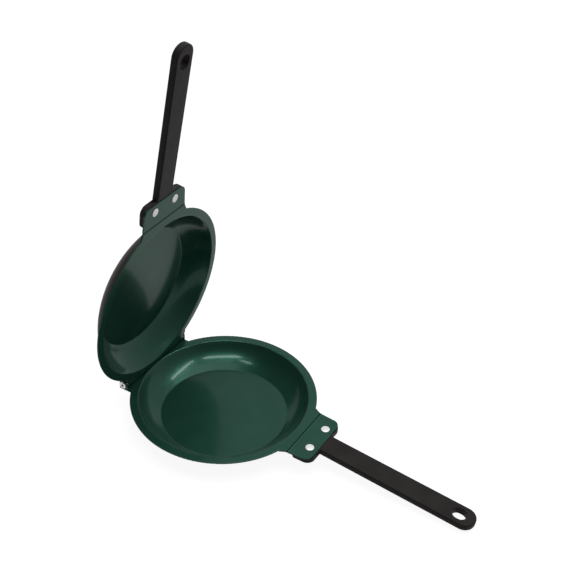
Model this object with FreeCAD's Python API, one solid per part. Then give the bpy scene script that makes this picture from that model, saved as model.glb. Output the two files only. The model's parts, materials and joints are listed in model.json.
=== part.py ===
import FreeCAD, Part
import math
import os

# A double sided flip pan, standing open on its lower half. Two pressed bowls share a hinge at -X,
# and each carries a flat moulded handle on a joggled tab. The origin is at the centre of the lower
# half's underside, +X runs along the lower handle and +Z is up. Lengths are in mm, angles in degrees.

# Pressed bowls
rim_diameter = 190.0
flange_width = 8.4
bowl_depth = 22.5
sheet = 1.6
wall_run = 22.0
wall_bend_run_share = 0.35
wall_bend_depth_share = 0.6
wall_radius = 42.0
lip_radius = 2.0
edge_radius = 0.65
underside_radius = 0.8
floor_corner_radius = 3.0
rim_gap = 1.0

# Handle tab, reaching out from the rim
crease_reach = 1.0
riser_run = 1.8
tab_drop = 0.4
tab_reach = 24.9
tab_end_width = 60.0
tab_crease_width = 63.5
tab_flare_width = 70.0
tab_flare_run = 6.2
tab_flare_radius = 9.0
crease_groove_width = 0.8
crease_groove_depth = 0.5
tab_corner_radius = 8.0

# Hinge: a rolled barrel on the upper half turns on a hollow pin between two ears of the lower half
pin_inset = 4.9
pin_radius = 3.2
pin_bore_radius = 1.3
pin_head_radius = 3.8
pin_head_thickness = 1.6
pin_head_rounding = 0.6
running_clearance = 0.08
seat_clearance = 0.05
barrel_length = 92.0
barrel_slit = 0.8
end_play = 0.3
washer_thickness = 1.15
washer_radius = 4.4
ear_bend_radius = 1.6
shoulder_gap = 0.4
opening_angle = 83.5

# Moulded handles
head_inset = 2.8
head_front_reach = 1.2
head_width = 59.4
head_thickness = 7.4
head_front_radius = 8.8
head_rear_radius = 4.0
head_back_rounding = 2.6
head_face_rounding = 0.5
grip_drop = 0.6
bar_end_reach = 186.6
bar_root_overlap = 5.5
bar_root_width = 22.6
bar_end_width = 23.2
bar_thickness = 7.5
bar_end_radius = 11.3
bar_face_rounding = 1.4
bar_back_rounding = 2.4
bar_tilt_angle = 4.8
hang_slot_web = 9.4
hang_slot_length = 14.0
hang_slot_width = 12.0
hang_slot_rounding = 0.8

# Handle rivets and the washers under their closed ends
rivet_reach = 16.4
rivet_spacing = 29.8
rivet_shank_radius = 2.4
rivet_head_radius = 4.2
rivet_head_height = 0.75
rivet_rim_height = 0.25
rivet_dimple_radius = 1.9
rivet_dimple_depth = 0.2
rivet_tail_radius = 3.5
rivet_tail_height = 0.6
backing_radius = 5.0
backing_thickness = 1.0

overrun = 5.0

rim_radius = rim_diameter / 2
lip_reach = rim_radius - flange_width
base_height = bowl_depth + sheet
crease_x = rim_radius + crease_reach
tab_end_x = rim_radius + tab_reach
barrel_radius = pin_radius + running_clearance + sheet
pin_x = -(rim_radius - pin_inset)
pin_height = rim_gap + barrel_radius
ear_inner = barrel_length / 2 + end_play + washer_thickness + seat_clearance
ear_outer = ear_inner + sheet

X = FreeCAD.Vector(1, 0, 0)
Y = FreeCAD.Vector(0, 1, 0)
Z = FreeCAD.Vector(0, 0, 1)
CENTRE = FreeCAD.Vector(0, 0, 0)


# Drawing helpers
def plan(u, v):
    """A point of an outline drawn in the XY plane."""
    return FreeCAD.Vector(u, v, 0)


def side(u, v):
    """A point of an outline drawn in the XZ plane."""
    return FreeCAD.Vector(u, 0, v)


def across(u, v):
    """A point of a profile turned about the pin: u outward along Z, v along Y."""
    return FreeCAD.Vector(0, v, u)


def outline(corners, place):
    """A face inside corners (u, v, radius), each corner rounded by its radius."""
    edges = []
    last = None
    first = None
    for index, (u, v, radius) in enumerate(corners):
        here = FreeCAD.Vector(u, v, 0)
        before = FreeCAD.Vector(*corners[index - 1][:2], 0) - here
        after = FreeCAD.Vector(*corners[(index + 1) % len(corners)][:2], 0) - here
        before.normalize()
        after.normalize()
        half = before.getAngle(after) / 2
        run = radius / math.tan(half)
        start = here + before * run
        end = here + after * run
        if last is not None:
            edges.append(Part.LineSegment(place(last.x, last.y), place(start.x, start.y)).toShape())
        else:
            first = start
        if radius > 0:
            middle = (before + after).normalize()
            nearest = here + middle * (radius / math.sin(half) - radius)
            arc = Part.Arc(place(start.x, start.y), place(nearest.x, nearest.y), place(end.x, end.y))
            edges.append(arc.toShape())
        last = end
    edges.append(Part.LineSegment(place(last.x, last.y), place(first.x, first.y)).toShape())
    return Part.Face(Part.Wire(edges))


def beside(line, gap):
    """The corners of a line drawn at a gap on the right of another."""
    corners = []
    for index, here in enumerate(line):
        legs = [end - start for start, end in zip(line[max(index - 1, 0):], line[max(index, 1):index + 2])]
        sides = [FreeCAD.Vector(leg.y, -leg.x, 0).normalize() for leg in legs]
        middle = (sides[0] + sides[-1]).normalize()
        corners.append(here + middle * (gap / middle.dot(sides[0])))
    return corners


def ring(inner, outer, length, axis, start):
    """A tube along axis from start, or a rod where inner is zero."""
    solid = Part.makeCylinder(outer, length, start, axis)
    if inner > 0:
        solid = solid.cut(Part.makeCylinder(inner, length, start, axis))
    return solid


def edges_at_level(solid, level):
    """The solid's edges that lie flat at a height."""
    close = sheet * 0.001
    return [edge for edge in solid.Edges
            if abs(edge.BoundBox.ZMin - level) < close and abs(edge.BoundBox.ZMax - level) < close]


def mirrored_pair(piece):
    """A piece and its copy on the other side of the XZ plane."""
    return [piece, piece.mirror(CENTRE, Y)]


# Bowl half. Each half is drawn with its rim plane at z = 0 and its bowl below.
def bowl():
    """The turned sheet: floor, curved wall, lip and flange."""
    line = [
        plan(0, -bowl_depth),
        plan(lip_reach - wall_run, -bowl_depth),
        plan(lip_reach - wall_run * wall_bend_run_share, -bowl_depth * wall_bend_depth_share),
        plan(lip_reach, 0),
        plan(rim_radius, 0),
    ]
    inside_radii = [0, floor_corner_radius, wall_radius, lip_radius, edge_radius]
    under_radii = [0, floor_corner_radius + sheet, wall_radius + sheet, underside_radius, edge_radius]
    inside = [(point.x, point.y, radius) for point, radius in zip(line, inside_radii)]
    under = [(point.x, point.y, radius) for point, radius in zip(beside(line, sheet), under_radii)]
    return outline(inside + under[::-1], side).revolve(CENTRE, Z, 360)


def handle_tab():
    """The joggled tab: a bent strip, trimmed to its rounded outline, with a creased bend and rivet holes."""
    root = lip_reach + lip_radius
    step = crease_x + riser_run
    strip = outline([
        (root, 0, 0),
        (crease_x, 0, riser_run / 2),
        (step, -tab_drop, riser_run / 2),
        (tab_end_x, -tab_drop, sheet / 4),
        (tab_end_x, -tab_drop - sheet, sheet / 4),
        (step - tab_drop / 2, -tab_drop - sheet, riser_run / 2),
        (crease_x - tab_drop / 2, -sheet, riser_run / 2),
        (root, -sheet, 0),
    ], side)
    half = tab_flare_width / 2
    strip.translate(Y * -half)
    strip = strip.extrude(Y * tab_flare_width)
    shape = outline([
        (root, -half, 0),
        (root + tab_flare_run, -tab_crease_width / 2, tab_flare_radius),
        (tab_end_x, -tab_end_width / 2, tab_corner_radius),
        (tab_end_x, tab_end_width / 2, tab_corner_radius),
        (root + tab_flare_run, tab_crease_width / 2, tab_flare_radius),
        (root, half, 0),
    ], plan)
    shape.translate(Z * -(tab_drop + sheet + overrun))
    tab = strip.common(shape.extrude(Z * (tab_drop + sheet + 2 * overrun)))
    crease = FreeCAD.Vector(crease_x - crease_groove_width / 2, -half, -crease_groove_depth)
    tab = tab.cut(Part.makeBox(crease_groove_width, tab_flare_width, crease_groove_depth + overrun, crease))
    for place in rivet_places():
        below = place - Z * (sheet + overrun)
        tab = tab.cut(ring(0, rivet_shank_radius + seat_clearance, sheet + 2 * overrun, Z, below))
    return tab


def hinge_plate(half_width, reach):
    """The flange squared off at the hinge, out to a reach from the bowl's centre."""
    plate = Part.makeBox(reach, 2 * half_width, sheet, FreeCAD.Vector(-reach, -half_width, -sheet))
    return plate.cut(ring(0, rim_radius - flange_width / 2, sheet, Z, Z * -sheet))


def lower_pan():
    """The lower bowl, with two ears folded up that hold the pin."""
    pin = FreeCAD.Vector(pin_x, 0, pin_height)
    plate = hinge_plate(ear_outer, barrel_radius - pin_x)
    leg = Part.makeBox(2 * barrel_radius, sheet, sheet + pin_height,
                       FreeCAD.Vector(pin_x - barrel_radius, ear_inner, -sheet))
    ear = leg.fuse(ring(0, barrel_radius, sheet, Y, pin + Y * ear_inner))
    folded = plate.multiFuse(mirrored_pair(ear)).removeSplitter()
    bends = [edge for edge in edges_at_level(folded, -sheet)
             if abs(abs(edge.CenterOfMass.y) - ear_outer) < sheet / 2 and edge.BoundBox.YLength < sheet / 2]
    folded = folded.makeFillet(ear_bend_radius, bends)
    hole = ring(0, pin_radius + seat_clearance, 2 * (ear_outer + overrun), Y, pin - Y * (ear_outer + overrun))
    return bowl().multiFuse([handle_tab(), folded]).cut(hole).removeSplitter()


def upper_pan():
    """The upper bowl, with its flange rolled into the barrel. The barrel is on the bowl's side."""
    half = barrel_length / 2
    pin = FreeCAD.Vector(pin_x, -half, -barrel_radius)
    barrel = ring(0, barrel_radius, barrel_length, Y, pin)
    slit = Part.makeBox(barrel_radius + overrun, barrel_length, barrel_slit,
                        FreeCAD.Vector(pin_x, -half, -sheet - barrel_slit))
    rolled_away = Part.makeBox(flange_width, barrel_length, sheet,
                               FreeCAD.Vector(pin_x - flange_width, -half, -sheet))
    pressed = bowl().cut(rolled_away)
    shoulders = hinge_plate(ear_outer, -pin_x - barrel_radius - shoulder_gap)
    pressed = pressed.multiFuse([handle_tab(), shoulders, hinge_plate(half, -pin_x), barrel.cut(slit)])
    hole = ring(0, pin_radius + running_clearance, barrel_length + 2 * overrun, Y, pin - Y * overrun)
    return pressed.cut(hole).removeSplitter()


# Handle
def rivet_places():
    """The rivets' centres on the tab's face."""
    return [FreeCAD.Vector(rim_radius + rivet_reach, sign * rivet_spacing / 2, -tab_drop)
            for sign in (-1, 1)]


def handle_head():
    """The wide pad under the tab, rounded at its back."""
    half = head_width / 2
    rear = crease_x + head_inset
    front = tab_end_x + head_front_reach
    pad = outline([
        (rear, -half, head_rear_radius),
        (front, -half, head_front_radius),
        (front, half, head_front_radius),
        (rear, half, head_rear_radius),
    ], plan).extrude(Z * -head_thickness)
    pad = pad.makeFillet(head_back_rounding, edges_at_level(pad, -head_thickness))
    return pad.makeFillet(head_face_rounding, edges_at_level(pad, 0))


def handle_bar(tilt):
    """The flat bar with its hanging slot, tilted where it leaves the tab."""
    root = tab_end_x - bar_root_overlap
    end = rim_radius + bar_end_reach
    bar = outline([
        (root, -bar_root_width / 2, 0),
        (end, -bar_end_width / 2, bar_end_radius),
        (end, bar_end_width / 2, bar_end_radius),
        (root, bar_root_width / 2, 0),
    ], plan).extrude(Z * -bar_thickness)
    front = end - hang_slot_web
    rear = front - hang_slot_length
    half = hang_slot_width / 2
    corner = half - seat_clearance
    slot = outline([
        (rear, -half, corner),
        (front, -half, corner),
        (front, half, corner),
        (rear, half, corner),
    ], plan)
    bar = bar.cut(slot.extrude(Z * -bar_thickness))
    outer = [edge for edge in edges_at_level(bar, 0) + edges_at_level(bar, -bar_thickness)]
    around_slot = [edge for edge in outer if rear - seat_clearance < edge.CenterOfMass.x < front + seat_clearance
                   and abs(edge.CenterOfMass.y) < half + seat_clearance]
    rim = [edge for edge in outer if all(not edge.isSame(inner) for inner in around_slot)]
    face = [edge for edge in rim if edge.CenterOfMass.z > -bar_thickness / 2]
    back = [edge for edge in rim if edge.CenterOfMass.z < -bar_thickness / 2]
    bar = bar.makeFillet(hang_slot_rounding, around_slot)
    bar = bar.makeFillet(bar_face_rounding, match(bar, face))
    bar = bar.makeFillet(bar_back_rounding, match(bar, back))
    bar.rotate(FreeCAD.Vector(tab_end_x, 0, 0), Y, -tilt)
    return bar


def match(solid, wanted):
    """The edges of a changed solid that lie where the wanted edges lay."""
    close = sheet * 0.001
    return [edge for edge in solid.Edges
            if any(edge.CenterOfMass.distanceToPoint(old.CenterOfMass) < close for old in wanted)]


def handle(tilt):
    """Head and bar in one moulding, with the tab's seat, the rivet holes and their recesses."""
    grip = handle_head().fuse(handle_bar(tilt))
    grip.translate(Z * -(tab_drop + grip_drop))
    seat = Part.makeBox(tab_end_x + seat_clearance, tab_flare_width, sheet + overrun,
                        FreeCAD.Vector(0, -tab_flare_width / 2, -tab_drop - sheet))
    grip = grip.cut(seat)
    recess = backing_thickness + rivet_tail_height
    for place in rivet_places():
        back = place - Z * (grip_drop + head_thickness)
        grip = grip.cut(ring(0, rivet_shank_radius + seat_clearance, head_thickness, Z, back))
        grip = grip.cut(ring(0, backing_radius + seat_clearance, recess + overrun, Z, back - Z * overrun))
    return grip.removeSplitter()


def rivet(place):
    """A rivet with a low dimpled head on the tab and its closed end on the backing washer."""
    tail = -(grip_drop + head_thickness)
    flare = tail + rivet_tail_height
    crown = rivet_head_height
    profile = outline([
        (0, tail, 0),
        (rivet_tail_radius, tail, 0),
        (rivet_tail_radius, flare, 0),
        (rivet_shank_radius, flare, 0),
        (rivet_shank_radius, 0, 0),
        (rivet_head_radius, 0, 0),
        (rivet_head_radius, rivet_rim_height, 0),
        (rivet_dimple_radius, crown, rivet_dimple_depth),
        (rivet_dimple_radius, crown - rivet_dimple_depth, 0),
        (0, crown - rivet_dimple_depth, 0),
    ], side)
    solid = profile.revolve(CENTRE, Z, 360)
    solid.translate(place)
    return solid


def backing_washer(place):
    """The washer under a rivet's closed end."""
    base = place - Z * (grip_drop + head_thickness - rivet_tail_height)
    return ring(rivet_shank_radius + seat_clearance, backing_radius, backing_thickness, Z, base)


# Hinge pin and its washers
def hinge_pin():
    """A hollow pin whose ends are rolled over outside the ears."""
    neck = ear_outer + seat_clearance
    end = neck + pin_head_thickness
    profile = outline([
        (pin_bore_radius, -end, pin_head_rounding),
        (pin_head_radius, -end, pin_head_rounding),
        (pin_head_radius, -neck, 0),
        (pin_radius, -neck, 0),
        (pin_radius, neck, 0),
        (pin_head_radius, neck, 0),
        (pin_head_radius, end, pin_head_rounding),
        (pin_bore_radius, end, pin_head_rounding),
    ], across)
    pin = profile.revolve(CENTRE, Y, 360)
    pin.translate(FreeCAD.Vector(pin_x, 0, pin_height))
    return pin


def hinge_washer():
    start = FreeCAD.Vector(pin_x, barrel_length / 2 + end_play, pin_height)
    return ring(pin_radius + seat_clearance, washer_radius, washer_thickness, Y, start)


# Placing: the lower half rises to stand on its base, the upper half turns over and opens
def stand(piece):
    piece.translate(Z * base_height)
    return piece


def open_upper(piece):
    piece.rotate(CENTRE, X, 180)
    piece.translate(Z * rim_gap)
    piece.rotate(FreeCAD.Vector(pin_x, 0, pin_height), Y, -opening_angle)
    return stand(piece)


def write(name, pieces):
    """One STEP file for a node, from one solid or a group of like solids."""
    shape = pieces[0] if len(pieces) == 1 else Part.makeCompound(pieces)
    assert shape.isValid(), name
    shape.exportStep(os.path.join("parts", name + ".step"))


os.makedirs("parts", exist_ok=True)

write("lower_pan", [stand(lower_pan())])
write("lower_handle", [stand(handle(-bar_tilt_angle))])
write("lower_rivets", [stand(rivet(place)) for place in rivet_places()])
write("lower_rivet_washers", [stand(backing_washer(place)) for place in rivet_places()])
write("hinge_pin", [stand(hinge_pin())])
write("hinge_washers", [stand(piece) for piece in mirrored_pair(hinge_washer())])
write("upper_pan", [open_upper(upper_pan())])
write("upper_handle", [open_upper(handle(bar_tilt_angle))])
write("upper_rivets", [open_upper(rivet(place)) for place in rivet_places()])
write("upper_rivet_washers", [open_upper(backing_washer(place)) for place in rivet_places()])
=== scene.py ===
import json
import math

import bmesh
import bpy
from mathutils import Matrix, Vector


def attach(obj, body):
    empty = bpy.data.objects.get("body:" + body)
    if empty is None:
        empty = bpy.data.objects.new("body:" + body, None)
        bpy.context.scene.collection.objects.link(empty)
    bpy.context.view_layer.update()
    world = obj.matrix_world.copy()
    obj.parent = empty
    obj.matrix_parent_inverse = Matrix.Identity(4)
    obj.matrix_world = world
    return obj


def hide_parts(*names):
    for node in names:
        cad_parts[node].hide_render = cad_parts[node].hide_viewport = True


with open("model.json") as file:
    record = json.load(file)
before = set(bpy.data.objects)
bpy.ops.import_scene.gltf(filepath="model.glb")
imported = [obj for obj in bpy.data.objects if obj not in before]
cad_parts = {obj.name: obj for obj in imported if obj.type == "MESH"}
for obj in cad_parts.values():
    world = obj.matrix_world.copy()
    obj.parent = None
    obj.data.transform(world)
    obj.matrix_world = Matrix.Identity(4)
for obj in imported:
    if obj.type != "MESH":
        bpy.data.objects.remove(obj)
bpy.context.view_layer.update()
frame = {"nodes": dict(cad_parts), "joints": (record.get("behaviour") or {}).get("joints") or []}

bl_info = {
    "name": "Double sided flip pan",
    "version": (1, 0, 0),
    "blender": (4, 5, 0),
    "location": "3D View > Sidebar > Flip Pan",
    "description": "Finishes the pieces of a double sided flip pan and sets its studio stage",
    "category": "Object",
}

MM = 0.001

# Smoothing of the pieces: corners nearer than WELD are one, and faces flatter than FLAT_DEGREES are one
WELD = 0.001 * MM
FLAT_DEGREES = 0.3
PRESSED_SHARP_DEGREES = 32
MADE_SHARP_DEGREES = 38
LEVEL_FLATS_WEIGHT = 90

# The order of a pan's materials, the third being painted shade along the tab's crease, and how far a face
# leans away from the food before it is outside
COAT, ENAMEL, CREASE_SHADE = range(3)
OUTSIDE_LEAN = -0.2

# Where noise starts and ends the drift from one colour to the other
DRIFT_START = 0.35
DRIFT_END = 0.65

# Long lamps round the pan, with their angles in degrees as seen from it
STRIP_DISTANCE = 2
STRIPS = {
    "front_strip": {"azimuth": -53, "elevation": 55, "spread": 39, "thickness": 6, "radiance": 18},
    "right_strip": {"azimuth": 22, "elevation": 50, "spread": 34, "thickness": 5, "radiance": 19},
    "left_strip": {"azimuth": -102, "elevation": 60, "spread": 10, "thickness": 5, "radiance": 14},
}

# Width of the camera's sensor in mm
SENSOR_WIDTH = 36


# Sizes and colours that a user would change
class FlipPanFinish(bpy.types.PropertyGroup):
    coat_colour: bpy.props.FloatVectorProperty(
        name="Coat", description="Green of the non-stick coat inside the pans",
        subtype="COLOR", size=3, min=0, max=1, default=(0.0180, 0.0740, 0.0500))
    coat_tint: bpy.props.FloatVectorProperty(
        name="Coat tint", description="Second green that the coat drifts towards",
        subtype="COLOR", size=3, min=0, max=1, default=(0.0205, 0.0815, 0.0560))
    coat_gloss: bpy.props.FloatProperty(
        name="Coat roughness", description="Roughness of the coat's smooth top",
        subtype="FACTOR", min=0, max=1, default=0.12)
    barrel_reach: bpy.props.FloatProperty(
        name="Barrel reach", description="How far from the pin's axis the coat covers the rolled barrel",
        unit="LENGTH", min=0, default=0.0055)
    # Where the painted shade of the tab's crease lies: its distance from the pin's axis and its width
    crease_reach: bpy.props.FloatProperty(
        name="Crease reach", description="Distance of the tab's dark crease from the pin's axis",
        unit="LENGTH", min=0, default=0.1861)
    crease_shade_width: bpy.props.FloatProperty(
        name="Crease width", description="Width of the tab's crease",
        unit="LENGTH", min=0, default=0.00084)
    # Colour of the painted shade along the tab's crease
    crease_shade_colour: bpy.props.FloatVectorProperty(
        name="Crease", description="Near-black green of the bare bend in the tabs",
        subtype="COLOR", size=3, min=0, max=1, default=(0.0030, 0.0055, 0.0045))
    enamel_colour: bpy.props.FloatVectorProperty(
        name="Enamel", description="Dark brown of the pans' outer walls",
        subtype="COLOR", size=3, min=0, max=1, default=(0.0240, 0.0170, 0.0145))
    handle_colour: bpy.props.FloatVectorProperty(
        name="Handle", description="Near-black of the moulded handles",
        subtype="COLOR", size=3, min=0, max=1, default=(0.0265, 0.0230, 0.0224))
    alloy_colour: bpy.props.FloatVectorProperty(
        name="Rivets", description="Pale aluminium of the rivets",
        subtype="COLOR", size=3, min=0, max=1, default=(0.90, 0.91, 0.90))
    steel_colour: bpy.props.FloatVectorProperty(
        name="Hinge steel", description="Steel of the hinge pin and its washers",
        subtype="COLOR", size=3, min=0, max=1, default=(0.60, 0.59, 0.58))


class FlipPanStage(bpy.types.PropertyGroup):
    camera_place: bpy.props.FloatVectorProperty(
        name="Camera", description="Where the camera stands",
        subtype="TRANSLATION", unit="LENGTH", size=3, default=(0.4668, -0.6547, 0.7660))
    camera_azimuth: bpy.props.FloatProperty(
        name="Azimuth", description="Turn of the camera about the upright, from a view along +Y",
        subtype="ANGLE", unit="ROTATION", default=math.radians(31.06))
    camera_elevation: bpy.props.FloatProperty(
        name="Elevation", description="How far the camera looks down",
        subtype="ANGLE", unit="ROTATION", default=math.radians(36.95))
    camera_roll: bpy.props.FloatProperty(
        name="Roll", description="Turn of the camera about its own axis",
        subtype="ANGLE", unit="ROTATION", default=math.radians(1.72))
    camera_lens: bpy.props.FloatProperty(
        name="Lens", description="Focal length for a 36 mm wide sensor",
        unit="CAMERA", min=1, default=66.72)
    camera_shift: bpy.props.FloatVectorProperty(
        name="Shift", description="Shift of the picture, as a share of its width",
        size=2, default=(0.0000, -0.0004))
    floor_width: bpy.props.FloatProperty(
        name="Floor width", description="Width of the square floor",
        unit="LENGTH", min=1, default=12)
    floor_colour: bpy.props.FloatVectorProperty(
        name="Floor", description="Colour of the plain floor",
        subtype="COLOR", size=3, min=0, max=1, default=(0.22, 0.22, 0.22))
    floor_glow: bpy.props.FloatProperty(
        name="Floor white", description="White that the floor adds where the camera or gloss sees it",
        min=0, max=1, default=0.92)
    overhead_place: bpy.props.FloatVectorProperty(
        name="Overhead lamp", description="Where the soft overhead lamp hangs",
        subtype="TRANSLATION", unit="LENGTH", size=3, default=(0.1, 0.2, 1.7))
    overhead_target: bpy.props.FloatVectorProperty(
        name="Overhead target", description="Where the overhead lamp points",
        subtype="TRANSLATION", unit="LENGTH", size=3, default=(0, 0, 0.05))
    overhead_width: bpy.props.FloatProperty(
        name="Overhead width", description="Width and length of the overhead lamp",
        unit="LENGTH", min=0, default=1.6)
    overhead_power: bpy.props.FloatProperty(
        name="Overhead power", description="Power of the overhead lamp",
        unit="POWER", min=0, default=15)
    surround: bpy.props.FloatProperty(
        name="Surround", description="Strength of the soft light from the pale side of the room",
        min=0, max=2, default=0.5)
    dark_side: bpy.props.FloatProperty(
        name="Dark side", description="Brightness of the room behind the camera, as a share of the pale side",
        subtype="FACTOR", min=0, max=1, default=0.1)
    pale_azimuth: bpy.props.FloatProperty(
        name="Pale side", description="Direction of the pale side of the room, seen from the pan and from +X",
        subtype="ANGLE", unit="ROTATION", default=math.radians(100))


# Material helpers
def add_node(tree, kind, sockets=None, **settings):
    """A node with its settings, such as operation, and values for its sockets by name or number."""
    node = tree.nodes.new(kind)
    for name, value in settings.items():
        setattr(node, name, value)
    for socket, value in (sockets or {}).items():
        node.inputs[socket].default_value = value
    return node


def new_material(name, sockets):
    """A material with values for its shader's sockets by name, and the node tree to add to."""
    material = bpy.data.materials.new(name)
    material.use_nodes = True
    tree = material.node_tree
    shader = tree.nodes["Principled BSDF"]
    for socket, value in sockets.items():
        shader.inputs[socket].default_value = value
    return material, tree, shader


def add_noise(tree, scale, detail, stretch=(1, 1, 1)):
    """Noise on Object coordinates, its scale multiplied along each axis by stretch."""
    place = add_node(tree, "ShaderNodeTexCoord")
    mapping = add_node(tree, "ShaderNodeMapping", {"Scale": stretch})
    noise = add_node(tree, "ShaderNodeTexNoise", {"Scale": scale, "Detail": detail})
    tree.links.new(place.outputs["Object"], mapping.inputs["Vector"])
    tree.links.new(mapping.outputs["Vector"], noise.inputs["Vector"])
    return noise


def vary_colour(tree, shader, noise, first, second):
    """Base colour that drifts between two close colours."""
    ramp = add_node(tree, "ShaderNodeValToRGB")
    start, end = ramp.color_ramp.elements
    start.position, start.color = DRIFT_START, (*first, 1)
    end.position, end.color = DRIFT_END, (*second, 1)
    tree.links.new(noise.outputs["Fac"], ramp.inputs["Fac"])
    tree.links.new(ramp.outputs["Color"], shader.inputs["Base Color"])


def vary_shade(tree, shader, noise, colour, darkest, lightest):
    """Base colour that drifts between a darker and a lighter shade of one colour."""
    vary_colour(tree, shader, noise, Vector(colour) * darkest, Vector(colour) * lightest)


def vary_roughness(tree, shader, noise, low, high):
    """Roughness that drifts between two values."""
    spread = add_node(tree, "ShaderNodeMapRange", {"To Min": low, "To Max": high})
    tree.links.new(noise.outputs["Fac"], spread.inputs["Value"])
    tree.links.new(spread.outputs["Result"], shader.inputs["Roughness"])


def add_bump(tree, shader, noise, depth, strength):
    """A grain of this depth in the surface."""
    bump = add_node(tree, "ShaderNodeBump", {"Distance": depth, "Strength": strength})
    tree.links.new(noise.outputs["Fac"], bump.inputs["Height"])
    tree.links.new(bump.outputs["Normal"], shader.inputs["Normal"])


# Materials
def green_coat(finish):
    """Sprayed ceramic coat: fine metallic green under a smooth glassy top."""
    material, tree, shader = new_material("green_coat", {
        "Metallic": 0.32,
        "Specular IOR Level": 0,
        "Coat Weight": 0.4,
        "Coat Roughness": finish.coat_gloss,
        "Coat IOR": 1.35,
    })
    vary_colour(tree, shader, add_noise(tree, scale=38, detail=2), finish.coat_colour, finish.coat_tint)
    vary_roughness(tree, shader, add_noise(tree, scale=90, detail=3), low=0.27, high=0.33)
    add_bump(tree, shader, add_noise(tree, scale=700, detail=2), depth=0.02 * MM, strength=0.25)
    return material


def brown_enamel(finish):
    """Baked enamel of the outer walls, a little rougher and finely speckled."""
    material, tree, shader = new_material("brown_enamel", {"Specular IOR Level": 0.03})
    speckle = add_noise(tree, scale=1400, detail=2)
    vary_shade(tree, shader, speckle, finish.enamel_colour, darkest=0.85, lightest=1.25)
    vary_roughness(tree, shader, add_noise(tree, scale=160, detail=3), low=0.36, high=0.48)
    add_bump(tree, shader, add_noise(tree, scale=900, detail=3), depth=0.03 * MM, strength=0.3)
    return material


def handle_black(finish):
    """Moulded thermoset with a fine spark-eroded grain."""
    material, tree, shader = new_material("handle_black", {"Specular IOR Level": 0.075})
    cloud = add_noise(tree, scale=55, detail=4)
    vary_shade(tree, shader, cloud, finish.handle_colour, darkest=0.88, lightest=1.18)
    vary_roughness(tree, shader, add_noise(tree, scale=220, detail=3), low=0.42, high=0.56)
    add_bump(tree, shader, add_noise(tree, scale=2600, detail=3), depth=0.03 * MM, strength=0.35)
    return material


def crease_painted_shade(finish):
    """Painted shade along the tab's bend: a near-black green that never shines."""
    material, tree, shader = new_material("crease_painted_shade", {"Roughness": 0.8, "Specular IOR Level": 0})
    cloud = add_noise(tree, scale=300, detail=2)
    vary_shade(tree, shader, cloud, finish.crease_shade_colour, darkest=0.8, lightest=1.3)
    return material


def rivet_alloy(finish):
    """Soft aluminium with the die's fine marks."""
    material, tree, shader = new_material("rivet_alloy", {
        "Base Color": (*finish.alloy_colour, 1),
        "Metallic": 0.35,
    })
    vary_roughness(tree, shader, add_noise(tree, scale=1500, detail=3), low=0.32, high=0.46)
    add_bump(tree, shader, add_noise(tree, scale=2200, detail=3), depth=0.02 * MM, strength=0.3)
    return material


def hinge_steel(finish):
    """Drawn steel, with marks that run round the pin."""
    round_pin = (1, 9, 1)
    material, tree, shader = new_material("hinge_steel", {
        "Base Color": (*finish.steel_colour, 1),
        "Metallic": 1,
    })
    polish = add_noise(tree, scale=700, detail=3, stretch=round_pin)
    marks = add_noise(tree, scale=1100, detail=2, stretch=round_pin)
    vary_roughness(tree, shader, polish, low=0.24, high=0.42)
    add_bump(tree, shader, marks, depth=0.01 * MM, strength=0.3)
    return material


# Mesh helpers
def smooth_copy(node, name, sharp_degrees):
    """The node's own shape as one welded mesh, smooth but for its sharp edges."""
    mesh = bpy.data.meshes.new(name)
    shape = bmesh.new()
    shape.from_mesh(frame["nodes"][node].data)
    bmesh.ops.remove_doubles(shape, verts=shape.verts, dist=WELD)
    bmesh.ops.dissolve_degenerate(shape, edges=shape.edges, dist=WELD)
    flat = math.radians(FLAT_DEGREES)
    bmesh.ops.dissolve_limit(shape, verts=shape.verts, edges=shape.edges, angle_limit=flat)
    for face in shape.faces:
        face.smooth = True
    shape.to_mesh(mesh)
    shape.free()
    mesh.set_sharp_from_angle(angle=math.radians(sharp_degrees))
    piece = bpy.data.objects.new(name, mesh)
    bpy.context.scene.collection.objects.link(piece)
    level = piece.modifiers.new("level_flats", "WEIGHTED_NORMAL")
    level.keep_sharp = True
    level.weight = LEVEL_FLATS_WEIGHT
    return piece


def seat(piece, node, body):
    """The piece stands for a node, whose CAD part it hides, and moves with its body."""
    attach(piece, body)
    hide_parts(node)


def hinge_axis():
    """The hinge's place and direction, from the frame."""
    joint = frame["joints"][0]
    return Vector(joint["pos_m"]), Vector(joint["axis"])


def turned(body, closed):
    """A direction of the closed pan, as it lies in a half that now stands open."""
    opened = 0 if body == "lower_half" else math.radians(-frame["joints"][0]["range_deg"][0])
    return Matrix.Rotation(opened, 3, hinge_axis()[1]) @ Vector(closed)


def paint_pan(mesh, body, finish):
    """Enamel on the faces turned away from the food, and painted shade along the tab's crease."""
    place, axis = hinge_axis()
    food_side = turned(body, (0, 0, 1 if body == "lower_half" else -1))
    outward = turned(body, (1, 0, 0))
    for face in mesh.polygons:
        offset = face.center - place
        from_pin = (offset - axis * offset.dot(axis)).length
        if face.normal.dot(food_side) < OUTSIDE_LEAN and from_pin > finish.barrel_reach:
            face.material_index = ENAMEL
        # Painted shade: a near-black band across the tab at the crease
        elif abs(offset.dot(outward) - finish.crease_reach) < finish.crease_shade_width / 2:
            face.material_index = CREASE_SHADE
        else:
            face.material_index = COAT


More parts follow.
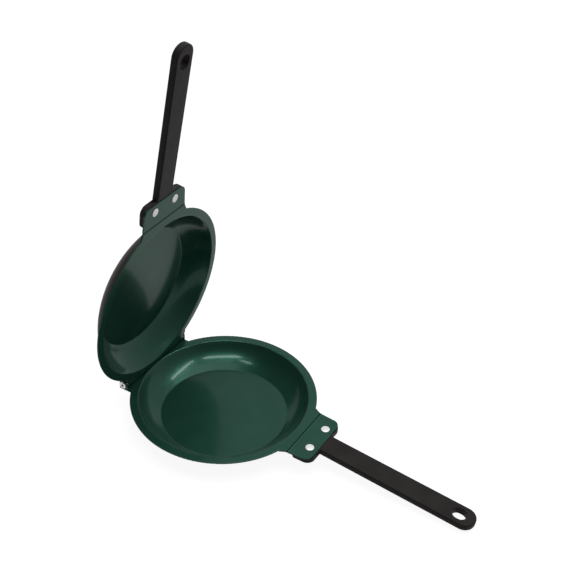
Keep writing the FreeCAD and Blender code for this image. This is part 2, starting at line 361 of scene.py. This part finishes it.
# Pans
class FLIPPAN_OT_pans(bpy.types.Operator):
    """Give both pans their green coat inside and brown enamel outside"""
    bl_idname = "flippan.pans"
    bl_label = "Finish the pans"

    def execute(self, context):
        finish = context.scene.flippan_finish
        in_order = (green_coat(finish), brown_enamel(finish), crease_painted_shade(finish))
        for node, body in (("lower_pan", "lower_half"), ("upper_pan", "upper_half")):
            piece = smooth_copy(node, node + "_coated", PRESSED_SHARP_DEGREES)
            for material in in_order:
                piece.data.materials.append(material)
            paint_pan(piece.data, body, finish)
            seat(piece, node, body)
        return {"FINISHED"}


# Handles
class FLIPPAN_OT_handles(bpy.types.Operator):
    """Give both handles their grained black moulding"""
    bl_idname = "flippan.handles"
    bl_label = "Finish the handles"

    def execute(self, context):
        black = handle_black(context.scene.flippan_finish)
        for node, body in (("lower_handle", "lower_half"), ("upper_handle", "upper_half")):
            piece = smooth_copy(node, node + "_grip", MADE_SHARP_DEGREES)
            piece.data.materials.append(black)
            seat(piece, node, body)
        return {"FINISHED"}


# Rivets and hinge
class FLIPPAN_OT_fasteners(bpy.types.Operator):
    """Give the rivets, their washers, the hinge pin and its washers their bare metal"""
    bl_idname = "flippan.fasteners"
    bl_label = "Finish the rivets and the hinge"

    def execute(self, context):
        finish = context.scene.flippan_finish
        alloy = rivet_alloy(finish)
        steel = hinge_steel(finish)
        for half in ("lower", "upper"):
            for kind in ("rivets", "rivet_washers"):
                node = half + "_" + kind
                piece = smooth_copy(node, node + "_bright", MADE_SHARP_DEGREES)
                piece.data.materials.append(alloy)
                seat(piece, node, half + "_half")
        for node in ("hinge_pin", "hinge_washers"):
            piece = smooth_copy(node, node + "_bright", MADE_SHARP_DEGREES)
            piece.data.materials.append(steel)
            seat(piece, node, "lower_half")
        return {"FINISHED"}


# Stage
def seen_or_glossy(tree):
    """1 for rays from the camera or from gloss, else 0."""
    path = add_node(tree, "ShaderNodeLightPath")
    either = add_node(tree, "ShaderNodeMath", operation="MAXIMUM")
    tree.links.new(path.outputs["Is Camera Ray"], either.inputs[0])
    tree.links.new(path.outputs["Is Glossy Ray"], either.inputs[1])
    return either.outputs["Value"]


def floor_material(stage):
    """A matt floor that adds a white of its own where the camera or gloss sees it."""
    material, tree, shader = new_material("stage_floor", {
        "Base Color": (*stage.floor_colour, 1),
        "Roughness": 0.9,
        "Specular IOR Level": 0,
        "Emission Color": (1, 1, 1, 1),
    })
    strength = add_node(tree, "ShaderNodeMath", {1: stage.floor_glow}, operation="MULTIPLY")
    tree.links.new(seen_or_glossy(tree), strength.inputs[0])
    tree.links.new(strength.outputs["Value"], shader.inputs["Emission Strength"])
    return material


def add_floor(stage):
    """One flat square, level with the pan's underside."""
    mesh = bpy.data.meshes.new("stage_floor")
    shape = bmesh.new()
    bmesh.ops.create_grid(shape, x_segments=1, y_segments=1, size=stage.floor_width / 2)
    shape.to_mesh(mesh)
    shape.free()
    mesh.materials.append(floor_material(stage))
    floor = bpy.data.objects.new("stage_floor", mesh)
    bpy.context.scene.collection.objects.link(floor)


def add_lamp(name, place, target, width, height, power):
    """A soft rectangular lamp that faces a target."""
    lamp = bpy.data.lights.new(name, "AREA")
    lamp.shape = "RECTANGLE"
    lamp.size = width
    lamp.size_y = height
    lamp.energy = power
    holder = bpy.data.objects.new(name, lamp)
    bpy.context.scene.collection.objects.link(holder)
    facing = (Vector(target) - Vector(place)).to_track_quat("-Z", "Y")
    holder.matrix_world = Matrix.Translation(place) @ facing.to_matrix().to_4x4()
    return holder


def add_strip(name, azimuth, elevation, spread, thickness, radiance, receivers):
    """A long lamp that faces the pan and shows only in the gloss of its receivers."""
    across = math.radians(azimuth)
    up = math.radians(elevation)
    towards = Vector((math.cos(across) * math.cos(up), math.sin(across) * math.cos(up), math.sin(up)))
    width = 2 * STRIP_DISTANCE * math.tan(math.radians(spread / 2))
    height = 2 * STRIP_DISTANCE * math.tan(math.radians(thickness / 2))
    power = radiance * math.pi * width * height
    strip = add_lamp(name, towards * STRIP_DISTANCE, (0, 0, 0), width, height, power)
    strip.visible_diffuse = False
    strip.light_linking.receiver_collection = receivers


def set_surround(stage):
    """A room that is pale on one side and dark on the other. The camera itself sees plain white."""
    world = bpy.data.worlds.new("surround")
    bpy.context.scene.world = world
    world.use_nodes = True
    tree = world.node_tree
    background = tree.nodes["Background"]
    background.inputs["Color"].default_value = (1, 1, 1, 1)
    pale = (math.cos(stage.pale_azimuth), math.sin(stage.pale_azimuth), 0)
    facing = add_node(tree, "ShaderNodeTexCoord")
    side = add_node(tree, "ShaderNodeVectorMath", {1: pale}, operation="DOT_PRODUCT")
    level = add_node(tree, "ShaderNodeMapRange", {"From Min": -1, "To Min": stage.dark_side},
                     interpolation_type="SMOOTHSTEP")
    path = add_node(tree, "ShaderNodeLightPath")
    share = add_node(tree, "ShaderNodeMapRange", {"To Min": stage.surround})
    dimmed = add_node(tree, "ShaderNodeMath", operation="MULTIPLY")
    strength = add_node(tree, "ShaderNodeMath", operation="MAXIMUM")
    tree.links.new(facing.outputs["Generated"], side.inputs[0])
    tree.links.new(side.outputs["Value"], level.inputs["Value"])
    tree.links.new(path.outputs["Is Glossy Ray"], share.inputs["Value"])
    tree.links.new(level.outputs["Result"], dimmed.inputs[0])
    tree.links.new(share.outputs["Result"], dimmed.inputs[1])
    tree.links.new(dimmed.outputs["Value"], strength.inputs[0])
    tree.links.new(path.outputs["Is Camera Ray"], strength.inputs[1])
    tree.links.new(strength.outputs["Value"], background.inputs["Strength"])


def add_camera(stage):
    """The camera, turned about the upright, then tipped down, then rolled."""
    lens = bpy.data.cameras.new("camera")
    lens.sensor_width = SENSOR_WIDTH
    lens.lens = stage.camera_lens
    lens.shift_x, lens.shift_y = stage.camera_shift
    camera = bpy.data.objects.new("camera", lens)
    bpy.context.scene.collection.objects.link(camera)
    turn = Matrix.Rotation(stage.camera_azimuth, 4, "Z")
    tip = Matrix.Rotation(math.radians(90) - stage.camera_elevation, 4, "X")
    roll = Matrix.Rotation(stage.camera_roll, 4, "Z")
    camera.matrix_world = Matrix.Translation(stage.camera_place) @ turn @ tip @ roll
    bpy.context.scene.camera = camera


class FLIPPAN_OT_stage(bpy.types.Operator):
    """Set the floor, the soft lamps, the surround and the camera"""
    bl_idname = "flippan.stage"
    bl_label = "Set the stage"

    def execute(self, context):
        stage = context.scene.flippan_stage
        add_floor(stage)
        add_lamp("overhead_lamp", stage.overhead_place, stage.overhead_target,
                 stage.overhead_width, stage.overhead_width, stage.overhead_power)
        receivers = bpy.data.collections.new("strip_receivers")
        receivers.objects.link(bpy.data.objects["lower_pan_coated"])
        for name, strip in STRIPS.items():
            add_strip(name, receivers=receivers, **strip)
        set_surround(stage)
        add_camera(stage)
        context.scene.view_settings.view_transform = "Standard"
        return {"FINISHED"}


OPERATORS = (FLIPPAN_OT_pans, FLIPPAN_OT_handles, FLIPPAN_OT_fasteners, FLIPPAN_OT_stage)


class FLIPPAN_PT_sidebar(bpy.types.Panel):
    """List every size and colour, and the four steps"""
    bl_idname = "FLIPPAN_PT_sidebar"
    bl_label = "Flip Pan"
    bl_space_type = "VIEW_3D"
    bl_region_type = "UI"
    bl_category = "Flip Pan"

    def draw(self, context):
        layout = self.layout
        for settings in (context.scene.flippan_finish, context.scene.flippan_stage):
            for name in settings.bl_rna.properties.keys():
                if name not in ("rna_type", "name"):
                    layout.prop(settings, name)
        for operator in OPERATORS:
            layout.operator(operator.bl_idname)


CLASSES = (FlipPanFinish, FlipPanStage, *OPERATORS, FLIPPAN_PT_sidebar)


def register():
    for item in CLASSES:
        bpy.utils.register_class(item)
    bpy.types.Scene.flippan_finish = bpy.props.PointerProperty(type=FlipPanFinish)
    bpy.types.Scene.flippan_stage = bpy.props.PointerProperty(type=FlipPanStage)


def unregister():
    del bpy.types.Scene.flippan_stage
    del bpy.types.Scene.flippan_finish
    for item in reversed(CLASSES):
        bpy.utils.unregister_class(item)


def main():
    register()
    bpy.ops.flippan.pans()
    bpy.ops.flippan.handles()
    bpy.ops.flippan.fasteners()
    bpy.ops.flippan.stage()


if __name__ == "__main__":
    main()
